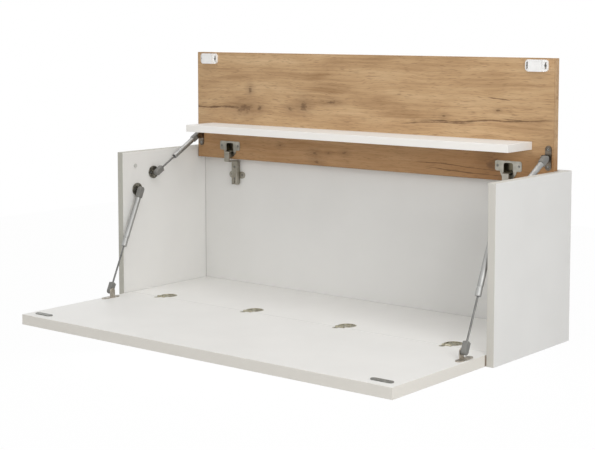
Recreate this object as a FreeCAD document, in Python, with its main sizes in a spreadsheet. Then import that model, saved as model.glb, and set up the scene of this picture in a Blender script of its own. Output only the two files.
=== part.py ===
import FreeCAD, Part
import os
import re
import Sketcher

# Fold-down wall desk: a shallow wall case with a drop flap, a lift-up lid that carries a shelf,
# concealed lid hinges, flush flap hinges and a gas strut at each side of the flap and of the lid.
# The desk is built open. X runs to the right, Y to the wall and Z up.
# The origin lies on the wall, midway across, level with the work surface.

SIZES = (
    # case boards
    ("width", 1000, "case, across the side panels"),
    ("height", 347, "case, underside to top"),
    ("depth", 294, "case, front to wall"),
    ("board", 16, "thickness of sides, back, lid and shelf"),
    ("thick_board", 22, "thickness of flap and bottom"),
    ("edge_round", 0.8, "rounding of the edge banding"),
    ("wall_hole_inset", 184, "wall screw from the side panel"),
    ("wall_hole_drop", 13, "wall screws below the case top"),
    ("wall_hole_radius", 3.25, "hole for a wall screw"),
    # flap
    ("flap_side_gap", 1.5, "flap to side panel"),
    ("flap_top_gap", 1, "closed flap below the case top"),
    ("seam_gap", 0.5, "flap axis to each board edge"),
    # lid and shelf
    ("lid_side_gap", 2, "lid to side panel"),
    ("lid_front_gap", 1.5, "closed lid to closed flap"),
    ("lid_rear_gap", 3, "closed lid to back panel"),
    ("lid_axis_inset", 17, "lid axis from the lid's rear edge"),
    ("lid_axis_rise", 6.5, "lid axis inside the lid's face"),
    ("shelf_side_gap", 51.5, "shelf's end to the side panel"),
    ("shelf_depth", 95, "shelf, out from the lid"),
    ("shelf_rise", 83.5, "shelf top above the lid's lower edge"),
    ("dowel_radius", 4, "wooden dowel"),
    ("dowel_in_lid", 10, "dowel's share in the lid"),
    ("dowel_in_shelf", 20, "dowel's share in the shelf"),
    ("dowel_inset", 102.5, "outer dowel from the shelf's end"),
    # gas struts
    ("strut_inset", 13, "strut centre line from the side panel"),
    ("tube_radius", 6, "strut tube outside"),
    ("tube_wall", 1, "strut tube wall"),
    ("tube_floor", 3, "closed end of the tube"),
    ("flap_rod_shown", 86.5, "rod that shows on a flap strut"),
    ("lid_rod_shown", 47.2, "rod that shows on a lid strut"),
    ("crimp_inset", 18, "rolled groove from the tube's open end"),
    ("crimp_width", 2, "half width of the rolled groove"),
    ("crimp_depth", 0.6, "depth of the rolled groove"),
    ("lip_length", 1.5, "rolled lip at the tube's open end"),
    ("lip_radius", 4, "hole in the rolled lip"),
    ("guide_length", 8, "rod guide inside the tube"),
    ("rod_radius", 2, "strut rod"),
    ("slide_clearance", 0.06, "running clearance, radial"),
    ("piston_length", 8, "piston on the rod"),
    ("piston_gap", 3, "piston to guide when the strut is long"),
    ("socket_radius", 6.5, "round end of a plastic end socket"),
    ("socket_width", 11, "end socket, side to side"),
    ("socket_shoulder", 19, "end socket, pivot to shoulder"),
    ("socket_reach", 20, "end socket, pivot to its collar's end"),
    ("socket_top", 13, "end socket, width at the shoulder"),
    ("socket_round", 1.2, "rounded edges of the end socket"),
    ("collar_radius", 5, "collar of the end socket"),
    ("stud_radius", 3.2, "pivot stud"),
    ("stud_length", 7.5, "pivot stud inside its socket"),
    ("bore_depth", 8.5, "stud bore of a socket"),
    ("pivot_gap", 0.3, "socket to the bracket beside it"),
    # strut brackets
    ("flap_strut_back", 45, "flap strut's side pivot behind the case front"),
    ("flap_strut_drop", 88, "flap strut's side pivot below the case top"),
    ("flap_foot_reach", 77, "flap strut's foot ahead of the flap axis"),
    ("lid_strut_reach", 160, "lid strut's side pivot ahead of the lid axis"),
    ("lid_strut_drop", 52.5, "lid strut's side pivot below the case top"),
    ("lid_foot_rise", 52.5, "lid strut's foot above the lid's lower edge"),
    ("foot_height", 15, "strut pivot above the board that carries a foot"),
    ("foot_length", 50, "foot plate, end to end"),
    ("foot_width", 14, "foot plate, side to side"),
    ("foot_plate", 2, "steel of a foot"),
    ("foot_screw_pitch", 35, "between the screws of a foot"),
    ("disc_radius", 14.5, "side bracket's disc"),
    ("disc_plate", 3, "side bracket's disc, thickness"),
    ("disc_boss_radius", 5, "side bracket's boss"),
    ("disc_screw_pitch", 20, "between the screws of a side bracket"),
    # lid hinges
    ("lid_hinge_inset", 105, "lid hinge from the side panel"),
    ("cup_radius", 17.5, "hinge cup outside"),
    ("cup_wall", 1, "hinge cup wall"),
    ("cup_depth", 12, "lid hinge cup in the board"),
    ("cup_rise", 22.5, "lid hinge cup's centre above the lid's lower edge"),
    ("rim_width", 2, "rim of a cup beyond its wall"),
    ("rim_thickness", 1.2, "rim and wings of a cup"),
    ("wing_length", 62, "cup wings, end to end"),
    ("wing_height", 21, "cup wings, low to high"),
    ("wing_lift", 8.5, "wings' middle above the cup's centre"),
    ("wing_round", 4, "corner of the wings"),
    ("cup_screw_pitch", 50, "between the screws of a cup"),
    ("mouth_width", 22, "mouth of a lid hinge cup, side to side"),
    ("mouth_low", 12.5, "mouth's lower end above the lid's lower edge"),
    ("mouth_high", 37.5, "mouth's upper end above the lid's lower edge"),
    ("mouth_round", 4, "corner of the mouth"),
    ("hinge_pin_radius", 2, "lid hinge pin"),
    ("hinge_pin_length", 30.8, "lid hinge pin, end to end"),
    ("knuckle_radius", 4.2, "arm's knuckle round the pin"),
    ("arm_width", 15, "hinge arm, side to side"),
    ("arm_thickness", 2.5, "steel of the hinge arm"),
    ("arm_front", 19.5, "arm's bend ahead of the lid axis"),
    ("arm_drop", 24, "arm's bend below the lid axis"),
    ("arm_length", 80, "arm's end below the lid axis"),
    ("arm_bend", 3.5, "outer bend of the arm"),
    ("cheek_thickness", 1.2, "cheeks of the arm"),
    ("cheek_depth", 5, "cheeks behind the arm's face"),
    ("cheek_top", 27, "cheeks' upper end below the lid axis"),
    ("ridge_height", 9, "mounting plate, back panel to arm"),
    ("ridge_width", 15.6, "mounting plate under the arm"),
    ("ridge_top", 26, "mounting plate's upper end below the lid axis"),
    ("ridge_length", 52, "mounting plate, low to high"),
    ("plate_thickness", 2.5, "wings of the mounting plate"),
    ("plate_drop", 57.5, "mounting plate's screws below the lid axis"),
    ("plate_screw_pitch", 32, "between the screws of a mounting plate"),
    ("plate_wing_radius", 8, "round ends of the mounting plate's wings"),
    ("arm_screw_high", 38, "arm's upper screw below the lid axis"),
    ("arm_screw_low", 66, "arm's lower screw below the lid axis"),
    ("arm_slot_width", 3.4, "open slot at the arm's end"),
    # flap hinges
    ("flap_hinge_inset", 100, "outer flap hinge from the side panel"),
    ("flap_hinge_step", 259, "outer flap hinge to inner flap hinge"),
    ("flap_cup_back", 22.5, "cup's centre behind the flap axis"),
    ("flap_cup_depth", 6.5, "flap hinge cup in the bottom"),
    ("flap_cup_floor", 5.5, "floor of the flap hinge cup"),
    ("flap_rim", 1.2, "rim of the flap hinge cup"),
    ("barrel_radius", 3, "flap hinge barrel"),
    ("barrel_relief", 0.4, "room round the barrel"),
    ("barrel_split", 0.3, "between the two barrels"),
    ("cup_barrel_length", 12, "barrel on the cup"),
    ("leaf_barrel_length", 8, "barrel on the leaf"),
    ("leaf_split_offset", 3.6, "barrels' split left of the hinge's middle"),
    ("tongue_depth", 4, "tongue from barrel to cup or lug"),
    ("lug_radius", 6.3, "round lug of the leaf"),
    ("lug_depth", 8, "lug in the flap"),
    ("lug_reach", 8.2, "lug's centre ahead of the flap axis"),
    ("flap_pin_radius", 1.5, "flap hinge pin"),
    ("flap_cup_screw_pitch", 20, "between the screws of a flap hinge cup"),
    ("flap_cup_screw_back", 6, "screws behind the middle of a flap hinge cup"),
    # catches
    ("catch_side_inset", 42, "catch from the side panel"),
    ("catch_length", 51, "catch housing, side to side"),
    ("catch_height", 24, "catch housing, low to high"),
    ("catch_depth", 12, "catch housing, out from the lid"),
    ("catch_inset", 3, "catch below the lid's free edge"),
    ("catch_round", 7, "corner of the catch housing"),
    ("ear_length", 10, "screw ear of the catch"),
    ("ear_thickness", 5, "screw ear's thickness"),
    ("ear_slot_width", 4, "slot of a screw ear, side to side"),
    ("ear_slot_length", 14, "slot of a screw ear, low to high"),
    ("magnet_length", 26, "magnet, side to side"),
    ("magnet_depth", 7, "magnet, thickness"),
    ("magnet_height", 12, "magnet, low to high"),
    ("strike_length", 48, "strike plate, end to end"),
    ("strike_width", 13, "strike plate, front to back"),
    ("strike_plate", 2, "strike plate, thickness"),
    ("strike_inset", 26, "strike's middle from the flap's free edge"),
    ("strike_screw_pitch", 34, "between the screws of a strike"),
    # fasteners
    ("screw_head_radius", 2.8, "countersunk screw head"),
    ("screw_head_height", 1.6, "countersunk screw head"),
    ("screw_radius", 1.5, "screw shank"),
    ("screw_length", 9, "screw, head to point"),
    ("cam_radius", 7.5, "cam lock housing"),
    ("cam_length", 12.5, "cam lock housing in the board"),
    ("cam_inset", 34, "cam lock from the board's end"),
    ("cam_slot_width", 2, "driver slot of a cam lock"),
    ("cam_slot_depth", 2, "driver slot of a cam lock"),
    ("cam_margin", 60, "cam lock from the board's corner"),
    ("bolt_radius", 3.5, "cam bolt"),
    ("bolt_thread_radius", 2.5, "cam bolt's thread in the side panel"),
    ("bolt_thread_length", 11, "cam bolt's thread in the side panel"),
    ("cap_radius", 4.5, "cover cap"),
    ("cap_thickness", 2.2, "cover cap"),
    ("cap_stem_radius", 2.5, "stem of a cover cap"),
    ("cap_stem_length", 8, "stem of a cover cap"),
    ("cap_back", 40, "cover cap behind the case front"),
    ("cap_drop", 33, "cover cap below the case top"),
)

# Places that follow from the sizes.
INNER_X = "(width / 2 - board)"
TOP_Z = "(height - thick_board)"
FLAP_AXIS_Y = "(thick_board - depth)"
FLAP_REACH = f"({TOP_Z} - flap_top_gap)"
LID_AXIS_Y = "(-board - lid_rear_gap - lid_axis_inset)"
LID_AXIS_Z = f"({TOP_Z} - board + lid_axis_rise)"
LID_FACE_Y = f"({LID_AXIS_Y} - lid_axis_rise)"
LID_FOOT_Z = f"({LID_AXIS_Z} - lid_axis_inset)"
LID_SPAN = "(depth - thick_board - lid_front_gap - board - lid_rear_gap)"
SHELF_TOP_Z = f"({LID_FOOT_Z} + shelf_rise)"
CUP_Z = f"({LID_FOOT_Z} + cup_rise)"
STRUT_X = f"({INNER_X} - strut_inset)"
PLATE_Z = f"({LID_AXIS_Z} - plate_drop)"
ARM_FACE_Y = "(-board - ridge_height - arm_thickness)"
CATCH_LOW_Z = f"({LID_FOOT_Z} + {LID_SPAN} - catch_inset - catch_height)"
STRIKE_Y = f"({FLAP_AXIS_Y} - {FLAP_REACH} + strike_inset)"
FLAP_CUP_Y = f"({FLAP_AXIS_Y} + flap_cup_back)"
LUG_Y = f"({FLAP_AXIS_Y} - lug_reach)"
FLAP_HINGE_OUTER = f"({INNER_X} - flap_hinge_inset)"
FLAP_HINGE_INNER = f"({FLAP_HINGE_OUTER} - flap_hinge_step)"
FLAP_HINGES = (f"-{FLAP_HINGE_OUTER}", f"-{FLAP_HINGE_INNER}", FLAP_HINGE_INNER, FLAP_HINGE_OUTER)
SHELF_END = f"({INNER_X} - shelf_side_gap)"
SIDES = (("left", "-1"), ("right", "1"))

DIRECTIONS = {
    "+X": FreeCAD.Vector(1, 0, 0),
    "-X": FreeCAD.Vector(-1, 0, 0),
    "+Y": FreeCAD.Vector(0, 1, 0),
    "-Y": FreeCAD.Vector(0, -1, 0),
    "+Z": FreeCAD.Vector(0, 0, 1),
    "-Z": FreeCAD.Vector(0, 0, -1),
}

doc = FreeCAD.newDocument("WallDesk")
sheet = doc.addObject("Spreadsheet::Sheet", "Sizes")
for row, (size_name, value, note) in enumerate(SIZES, start=1):
    sheet.set(f"A{row}", note)
    sheet.set(f"B{row}", str(value))
    sheet.setAlias(f"B{row}", size_name)
doc.recompute()

SIZE_NAMES = {size_name for size_name, value, note in SIZES}
nodes = []


# Formulas, names and places

def formula(text):
    """Write a formula with the sheet's name before each size in it."""
    def with_sheet(word):
        return "Sizes." + word.group() if word.group() in SIZE_NAMES else word.group()
    return re.sub(r"[a-z][a-z0-9_]*", with_sheet, str(text))


def bind(thing, **formulas):
    """Tie properties of an object to formulas of the sheet."""
    for name, text in formulas.items():
        thing.setExpression(name, formula(text))
    return thing


def place(thing, x, y, z, turn=None):
    """Tie an object's place to formulas; turn is a formula for its angle about X."""
    for axis, text in zip("xyz", (x, y, z)):
        thing.setExpression("Placement.Base." + axis, formula(text))
    if turn is not None:
        thing.Placement.Rotation = FreeCAD.Rotation(DIRECTIONS["+X"], 1)
        thing.setExpression("Placement.Rotation.Angle", formula(turn))
    return thing


def node(thing, label):
    """Name a finished piece, so that it is checked and written."""
    thing.Label = label
    nodes.append(thing)
    return thing


# Primitives and booleans

def block(x, y, z, across, back, up):
    """A box centred on x, from y towards the wall and from z upwards."""
    made = bind(doc.addObject("Part::Box", "block"), Length=across, Width=back, Height=up)
    return place(made, f"{x} - ({across}) / 2", y, z)


def bar(along, x, y, z, radius, length):
    """A round bar from a point along one of the six directions."""
    made = bind(doc.addObject("Part::Cylinder", "bar"), Radius=radius, Height=length)
    made.Placement.Rotation = FreeCAD.Rotation(DIRECTIONS["+Z"], DIRECTIONS[along])
    return place(made, x, y, z)


def taper(along, x, y, z, radius, end_radius, length):
    """A cone from a point along one of the six directions."""
    made = doc.addObject("Part::Cone", "taper")
    bind(made, Radius1=radius, Radius2=end_radius, Height=length)
    made.Placement.Rotation = FreeCAD.Rotation(DIRECTIONS["+Z"], DIRECTIONS[along])
    return place(made, x, y, z)


def together(pieces):
    """Several pieces as one group of separate solids."""
    made = doc.addObject("Part::Compound", "group")
    made.Links = pieces
    return made


def fuse(pieces):
    made = doc.addObject("Part::MultiFuse", "fuse")
    made.Shapes = pieces
    made.Refine = True
    return made


def cut(base, tools):
    made = doc.addObject("Part::Cut", "cut")
    made.Base = base
    made.Tool = tools[0] if len(tools) == 1 else together(tools)
    made.Refine = True
    return made


# Sketched bodies

def new_body(name):
    return doc.addObject("PartDesign::Body", name)


def sketch_on(body, role):
    """A sketch on one of the body's own origin planes."""
    planes = {plane.Role: plane for plane in body.Origin.OriginFeatures}
    sketch = body.newObject("Sketcher::SketchObject", "sketch")
    sketch.AttachmentSupport = [(planes[role], "")]
    sketch.MapMode = "FlatFace"
    return sketch


def hold(sketch, geometry, point, across, up):
    """Fix a point of a sketch at two formulas, measured from the sketch's origin."""
    for kind, axis, text in (("DistanceX", -2, across), ("DistanceY", -1, up)):
        if text == "0":
            sketch.addConstraint(Sketcher.Constraint("PointOnObject", geometry, point, axis))
        else:
            index = sketch.addConstraint(Sketcher.Constraint(kind, -1, 1, geometry, point, 1.0))
            sketch.setExpression(f"Constraints[{index}]", formula(text))


def outline(body, role, corners):
    """A closed outline of straight lines through corners given as formulas."""
    sketch = sketch_on(body, role)
    count = len(corners)
    round_start = FreeCAD.Vector(10, 0, 0)
    starts = [FreeCAD.Rotation(DIRECTIONS["+Z"], 360 * index / count).multVec(round_start)
              for index in range(count)]
    for index in range(count):
        line = Part.LineSegment(starts[index], starts[(index + 1) % count])
        sketch.addGeometry(line, False)
    for index in range(count):
        following = (index + 1) % count
        sketch.addConstraint(Sketcher.Constraint("Coincident", index, 2, following, 1))
    for index, (across, up) in enumerate(corners):
        hold(sketch, index, 1, across, up)
    return sketch


def rectangle(body, role, low, high):
    """A rectangular outline from its low corner to its high corner."""
    corners = [low, (high[0], low[1]), high, (low[0], high[1])]
    return outline(body, role, corners)


def ring(body, role, across, up, radius):
    """A circular outline."""
    sketch = sketch_on(body, role)
    circle = Part.Circle(FreeCAD.Vector(0, 0, 0), DIRECTIONS["+Z"], 1)
    sketch.addGeometry(circle, False)
    hold(sketch, 0, 3, across, up)
    index = sketch.addConstraint(Sketcher.Constraint("Radius", 0, 1.0))
    sketch.setExpression(f"Constraints[{index}]", formula(radius))
    return sketch


def pad(body, sketch, length, symmetric=False):
    made = body.newObject("PartDesign::Pad", "pad")
    made.Profile = sketch
    made.SideType = "Symmetric" if symmetric else "One side"
    return bind(made, Length=length)


def pocket(body, sketch, length, symmetric=False):
    made = body.newObject("PartDesign::Pocket", "pocket")
    made.Profile = sketch
    made.SideType = "Symmetric" if symmetric else "One side"
    return bind(made, Length=length)


def turned(body, sketch):
    """A full revolution about the sketch's upright axis."""
    made = body.newObject("PartDesign::Revolution", "turned")
    made.Profile = sketch
    made.ReferenceAxis = (sketch, ["V_Axis"])
    made.Angle = 360
    return made


def rounded(body, feature, radius, chosen=None):
    """Round a feature's edges: all of them, or those that chosen picks."""
    made = body.newObject("PartDesign::Fillet", "rounded")
    if chosen is None:
        made.Base = feature
        made.UseAllEdges = True
    else:
        doc.recompute()
        picked = [f"Edge{number}" for number, edge in enumerate(feature.Shape.Edges, start=1) if chosen(edge)]
        made.Base = (feature, picked)
    return bind(made, Radius=radius)


def runs_along(direction):
    """A test for straight edges that run along a direction."""
    def chosen(edge):
        return edge.Curve.TypeId == "Part::GeomLine" and abs(edge.Curve.Direction.dot(direction)) > 0.999
    return chosen


# Fasteners

def screw(along, x, y, z):
    """A countersunk wood screw, from the flat of its head."""
    head = taper(along, x, y, z, "screw_head_radius", "screw_radius", "screw_head_height")
    shank = bar(along, x, y, z, "screw_radius", "screw_length")
    return fuse([head, shank])


def screw_pair(along, x, y, z, axis, pitch):
    """Two screws set a pitch apart along X, Y or Z."""
    made = []
    for sign in ("-", "+"):
        spot = {"X": x, "Y": y, "Z": z}
        spot[axis] = f"{spot[axis]} {sign} {pitch} / 2"
        made.append(screw(along, spot["X"], spot["Y"], spot["Z"]))
    return made


def board_blank(across, back, up):
    """A board with banded, softly rounded edges, its low rear left corner at its own origin."""
    body = new_body("board")
    sketch = rectangle(body, "XY_Plane", ("0", "0"), (across, back))
    rounded(body, pad(body, sketch, up), "edge_round")
    return body


# Gas struts

def socket(strut, end, turn_over, bore_side):
    """A plastic end socket: a round-ended block with a collar, and a blind bore where a stud enters."""
    body = new_body("socket")
    rise = "-" if turn_over else ""
    round_end = ring(body, "YZ_Plane", "0", "0", "socket_radius")
    pad(body, round_end, "socket_width", symmetric=True)
    shoulder = f"{rise}socket_shoulder"
    sides = [("-socket_radius", "0"), ("socket_radius", "0")]
    sides += [("socket_top / 2", shoulder), ("-socket_top / 2", shoulder)]
    shank = pad(body, outline(body, "YZ_Plane", sides), "socket_width", symmetric=True)
    rounded(body, shank, "socket_round", runs_across_face)
    collar = pad(body, ring(body, "XY_Plane", "0", "0", "collar_radius"), "socket_reach")
    collar.Reversed = turn_over
    if bore_side is not None:
        hole = ring(body, "YZ_Plane", "0", "0", "stud_radius + slide_clearance")
        bore = pocket(body, hole, "socket_width / 2")
        bore.SideType = "Two sides"
        inner = "bore_depth - socket_width / 2"
        lengths = ("socket_width / 2", inner) if bore_side == "-1" else (inner, "socket_width / 2")
        bind(bore, Length=lengths[0], Length2=lengths[1])
    return place_on_strut(body, strut, end)


def runs_across_face(edge):
    """The edges round the two flat faces of an end socket."""
    return edge.BoundBox.XLength < 0.001


def place_on_strut(thing, strut, along="0"):
    """Set a piece on a strut's line, a length away from the tube's pivot."""
    share = f"({along}) / {strut['length']}"
    y = f"{strut['tube_y']} + {strut['run_y']} * {share}"
    z = f"{strut['tube_z']} + {strut['run_z']} * {share}"
    return place(thing, f"{strut['side']} * {STRUT_X}", y, z, f"atan2(-{strut['run_y']}; {strut['run_z']})")


def strut_line(side, tube_y, tube_z, rod_y, rod_z, rod_shown):
    """A strut's line from its tube's pivot to its rod's pivot; the tube takes what the rod leaves."""
    run_y = f"({rod_y} - {tube_y})"
    run_z = f"({rod_z} - {tube_z})"
    length = f"sqrt({run_y} ^ 2 + {run_z} ^ 2)"
    return {
        "side": side,
        "tube_y": tube_y,
        "tube_z": tube_z,
        "run_y": run_y,
        "run_z": run_z,
        "length": length,
        "tube_end": f"({length} - socket_reach - {rod_shown})",
    }


def strut_tube(strut):
    """A drawn tube with a closed end, a rolled groove and a rolled lip."""
    end = strut["tube_end"]
    groove = f"({end} - crimp_inset)"
    body = new_body("tube")
    corners = [
        ("0", "socket_reach"),
        ("tube_radius", "socket_reach"),
        ("tube_radius", f"{groove} - crimp_width"),
        ("tube_radius - crimp_depth", f"{groove} - crimp_width / 2"),
        ("tube_radius - crimp_depth", f"{groove} + crimp_width / 2"),
        ("tube_radius", f"{groove} + crimp_width"),
        ("tube_radius", f"{end} - tube_wall"),
        ("tube_radius - tube_wall", end),
        ("lip_radius", end),
        ("lip_radius", f"{end} - lip_length"),
        ("tube_radius - tube_wall", f"{end} - lip_length"),
        ("tube_radius - tube_wall", "socket_reach + tube_floor"),
        ("0", "socket_reach + tube_floor"),
    ]
    turned(body, outline(body, "XZ_Plane", corners))
    return place_on_strut(body, strut)


def strut_guide(strut):
    """The rod's guide and seal, held behind the tube's lip, with a nose that shows in the lip."""
    end = strut["tube_end"]
    seat = f"{end} - lip_length"
    body = new_body("guide")
    hole = "rod_radius + slide_clearance"
    corners = [
        (hole, f"{seat} - guide_length"),
        ("tube_radius - tube_wall", f"{seat} - guide_length"),
        ("tube_radius - tube_wall", seat),
        ("lip_radius", seat),
        ("lip_radius", end),
        (hole, end),
    ]
    turned(body, outline(body, "XZ_Plane", corners))
    return place_on_strut(body, strut)


def piston_end(strut):
    return f"({strut['tube_end']} - lip_length - guide_length - piston_gap)"


def strut_rod(strut):
    """The polished rod, from its piston to its end socket."""
    body = new_body("rod")
    low = piston_end(strut)
    high = f"{strut['length']} - socket_reach"
    corners = [("0", low), ("rod_radius", low), ("rod_radius", high), ("0", high)]
    turned(body, outline(body, "XZ_Plane", corners))
    return place_on_strut(body, strut)


def strut_piston(strut):
    """The piston, a sliding fit in the tube, with a groove for its ring."""
    body = new_body("piston")
    high = piston_end(strut)
    low = f"{high} - piston_length"
    outside = "tube_radius - tube_wall - slide_clearance"
    corners = [
        ("0", low),
        (outside, low),
        (outside, f"{low} + piston_length / 3"),
        ("rod_radius", f"{low} + piston_length / 3"),
        ("rod_radius", f"{high} - piston_length / 3"),
        (outside, f"{high} - piston_length / 3"),
        (outside, high),
        ("0", high),
    ]
    turned(body, outline(body, "XZ_Plane", corners))
    return place_on_strut(body, strut)


def gas_strut(name, strut, tube_bore, rod_bore):
    """All pieces of one strut; a bore faces the side on which a foot's stud enters."""
    node(strut_tube(strut), f"{name}_tube")
    node(strut_guide(strut), f"{name}_guide")
    node(strut_rod(strut), f"{name}_rod")
    node(strut_piston(strut), f"{name}_piston")
    node(socket(strut, "0", False, tube_bore), f"{name}_tube_socket")
    node(socket(strut, strut["length"], True, rod_bore), f"{name}_rod_socket")


def side_bracket(side, along, y, z):
    """A steel disc with a boss on a side panel, and the screws that hold it."""
    face = f"{side} * {INNER_X}"
    boss_length = "strut_inset - socket_width / 2 - pivot_gap"
    disc = bar(along, face, y, z, "disc_radius", "disc_plate")
    boss = bar(along, face, y, z, "disc_boss_radius", boss_length)
    into_panel = "+X" if along == "-X" else "-X"
    head_x = f"{side} * ({INNER_X} - disc_plate)"
    screws = screw_pair(into_panel, head_x, y, z, "Y", "disc_screw_pitch")
    return cut(fuse([disc, boss]), screws), screws


def foot_shape(side):
    """A strut's foot, standing on its own origin: oblong plate, round-topped tab and pivot stud."""
    tab_face = "(socket_width / 2 + pivot_gap)"
    plate_x = f"{side} * (-{tab_face} - foot_plate + foot_width / 2)"
    straight = "foot_length - foot_width"
    pieces = [block(plate_x, f"-({straight}) / 2", "0", "foot_width", straight, "foot_plate")]
    for sign in ("-", "+"):
        pieces.append(bar("+Z", plate_x, f"{sign} ({straight}) / 2", "0", "foot_width / 2", "foot_plate"))
    tab_x = f"{side} * (-{tab_face} - foot_plate / 2)"
    pieces.append(block(tab_x, "-foot_width / 2", "0", "foot_plate", "foot_width", "foot_height"))
    outward = "+X" if side == "1" else "-X"
    tab_back = f"{side} * (-{tab_face} - foot_plate)"
    pieces.append(bar(outward, tab_back, "0", "foot_height", "foot_width / 2", "foot_plate"))
    stud = "foot_plate + pivot_gap + stud_length"
    pieces.append(bar(outward, tab_back, "0", "foot_height", "stud_radius", stud))
    return fuse(pieces), plate_x


# Lid hinges

def hinge_arm(x):
    """A cranked arm: knuckle in the cup, bend under the lid's edge, slotted channel on the mounting plate."""
    body = new_body("arm")
    half = "arm_thickness / 2"
    face = f"({ARM_FACE_Y} - {LID_AXIS_Y})"
    back = f"({face} + arm_thickness)"
    corners = [
        ("0", half),
        ("-arm_front", half),
        ("-arm_front", "-arm_drop"),
        (face, "-arm_drop"),
        (face, "-arm_length"),
        (back, "-arm_length"),
        (back, "arm_thickness - arm_drop"),
        ("arm_thickness - arm_front", "arm_thickness - arm_drop"),
        ("arm_thickness - arm_front", f"-{half}"),
        ("0", f"-{half}"),
    ]
    strip = pad(body, outline(body, "YZ_Plane", corners), "arm_width", symmetric=True)
    rounded(body, strip, "arm_bend", lambda edge: runs_along(DIRECTIONS["+X"])(edge) and is_outer_bend(edge))
    channel = rectangle(body, "YZ_Plane", (face, "-arm_length"), (f"{back} + cheek_depth", "-cheek_top"))
    pad(body, channel, "ridge_width + 2 * cheek_thickness", symmetric=True)
    inside = rectangle(body, "YZ_Plane", (back, "-arm_length"), (f"{back} + cheek_depth", "-cheek_top"))
    pocket(body, inside, "ridge_width", symmetric=True)
    pad(body, ring(body, "YZ_Plane", "0", "0", "knuckle_radius"), "arm_width", symmetric=True)
    bore = ring(body, "YZ_Plane", "0", "0", "hinge_pin_radius + slide_clearance")
    pocket(body, bore, "arm_width + 2 * cheek_thickness", symmetric=True)
    slot_half = "arm_slot_width / 2"
    slot = rectangle(body, "XZ_Plane", (f"-{slot_half}", "-arm_length"), (slot_half, "-arm_screw_low"))
    pocket(body, slot, f"2 * {back}", symmetric=True)
    pocket(body, ring(body, "XZ_Plane", "0", "-arm_screw_low", slot_half), f"2 * {back}", symmetric=True)
    return place(body, x, LID_AXIS_Y, LID_AXIS_Z)


def is_outer_bend(edge):
    """The two outer bends of the arm's crank lie on its foremost face."""
    return edge.BoundBox.YMax < -sheet.arm_front + sheet.arm_thickness / 2


def hinge_cup(x):
    """A pressed cup with a rim, two screw wings and a mouth with round corners."""
    wings = new_body("wings")
    half = "wing_length / 2"
    plate = rectangle(wings, "XZ_Plane", (f"-{half}", "-wing_height / 2"), (half, "wing_height / 2"))
    rounded(wings, pad(wings, plate, "rim_thickness"), "wing_round", runs_along(DIRECTIONS["+Y"]))
    place(wings, x, LID_FACE_Y, f"{CUP_Z} + wing_lift")
    rim = bar("-Y", x, LID_FACE_Y, CUP_Z, "cup_radius + rim_width", "rim_thickness")
    bowl = bar("+Y", x, LID_FACE_Y, CUP_Z, "cup_radius", "cup_depth")
    hollow = bar("+Y", x, LID_FACE_Y, CUP_Z, "cup_radius - cup_wall", "cup_depth - cup_wall")
    mouth = new_body("mouth")
    half = "mouth_width / 2"
    opening = rectangle(mouth, "XZ_Plane", (f"-{half}", "mouth_low"), (half, "mouth_high"))
    rounded(mouth, pad(mouth, opening, "rim_thickness"), "mouth_round", runs_along(DIRECTIONS["+Y"]))
    place(mouth, x, LID_FACE_Y, LID_FOOT_Z)
    return cut(fuse([wings, rim, bowl]), [hollow, mouth])


def hinge_pin(x):
    left = f"{x} - hinge_pin_length / 2"
    return bar("+X", left, LID_AXIS_Y, LID_AXIS_Z, "hinge_pin_radius", "hinge_pin_length")


def hinge_plate(x):
    """A cross-shaped mounting plate: a ridge under the arm and two round-ended wings."""
    ridge_low = f"{LID_AXIS_Z} - ridge_top - ridge_length"
    ridge = block(x, "-board - ridge_height", ridge_low, "ridge_width", "ridge_height", "ridge_length")
    wing_y = "-board - plate_thickness"
    wing_z = f"{PLATE_Z} - plate_wing_radius"
    wing_height = "2 * plate_wing_radius"
    pieces = [ridge, block(x, wing_y, wing_z, "plate_screw_pitch", "plate_thickness", wing_height)]
    for sign in ("-", "+"):
        end_x = f"{x} {sign} plate_screw_pitch / 2"
        pieces.append(bar("-Y", end_x, "-board", PLATE_Z, "plate_wing_radius", "plate_thickness"))
    return fuse(pieces)


# Flap hinges

def cup_barrel_left(x):
    """The left end of the barrel on a flap hinge's cup."""
    return f"{x} - leaf_split_offset + barrel_split / 2"


def leaf_barrel_left(x):
    """The left end of the barrel on a flap hinge's leaf."""
    return f"{x} - leaf_split_offset - barrel_split / 2 - leaf_barrel_length"


def cup_tongue(x):
    """The tongue from the middle of a flap hinge's cup to its barrel."""
    middle = f"{cup_barrel_left(x)} + cup_barrel_length / 2"
    return block(middle, FLAP_AXIS_Y, "-tongue_depth", "cup_barrel_length", "flap_cup_back", "tongue_depth")


def leaf_middle(x):
    return f"{leaf_barrel_left(x)} + leaf_barrel_length / 2"


def leaf_plug(x):
    """The leaf's round lug and its tongue to the barrel."""
    middle = leaf_middle(x)
    lug = bar("-Z", middle, LUG_Y, "0", "lug_radius", "lug_depth")
    return [lug, block(middle, LUG_Y, "-tongue_depth", "leaf_barrel_length", "lug_reach", "tongue_depth")]


def cup_plug(x):
    """The flap hinge cup's outside: its bowl and its rim."""
    bowl = bar("-Z", x, FLAP_CUP_Y, "0", "cup_radius", "flap_cup_depth")
    return [bowl, bar("-Z", x, FLAP_CUP_Y, "0", "cup_radius + rim_width", "flap_rim")]


def flap_hinge_cup(x):
    """The case half: a shallow cup let into the bottom, with a tongue and barrel at the seam."""
    hollow = bar("-Z", x, FLAP_CUP_Y, "0", "cup_radius - rim_width", "flap_cup_depth - flap_cup_floor")
    barrel = bar("+X", cup_barrel_left(x), FLAP_AXIS_Y, "0", "barrel_radius", "cup_barrel_length")
    return fuse([cut(fuse(cup_plug(x)), [hollow]), cup_tongue(x), barrel])


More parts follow.
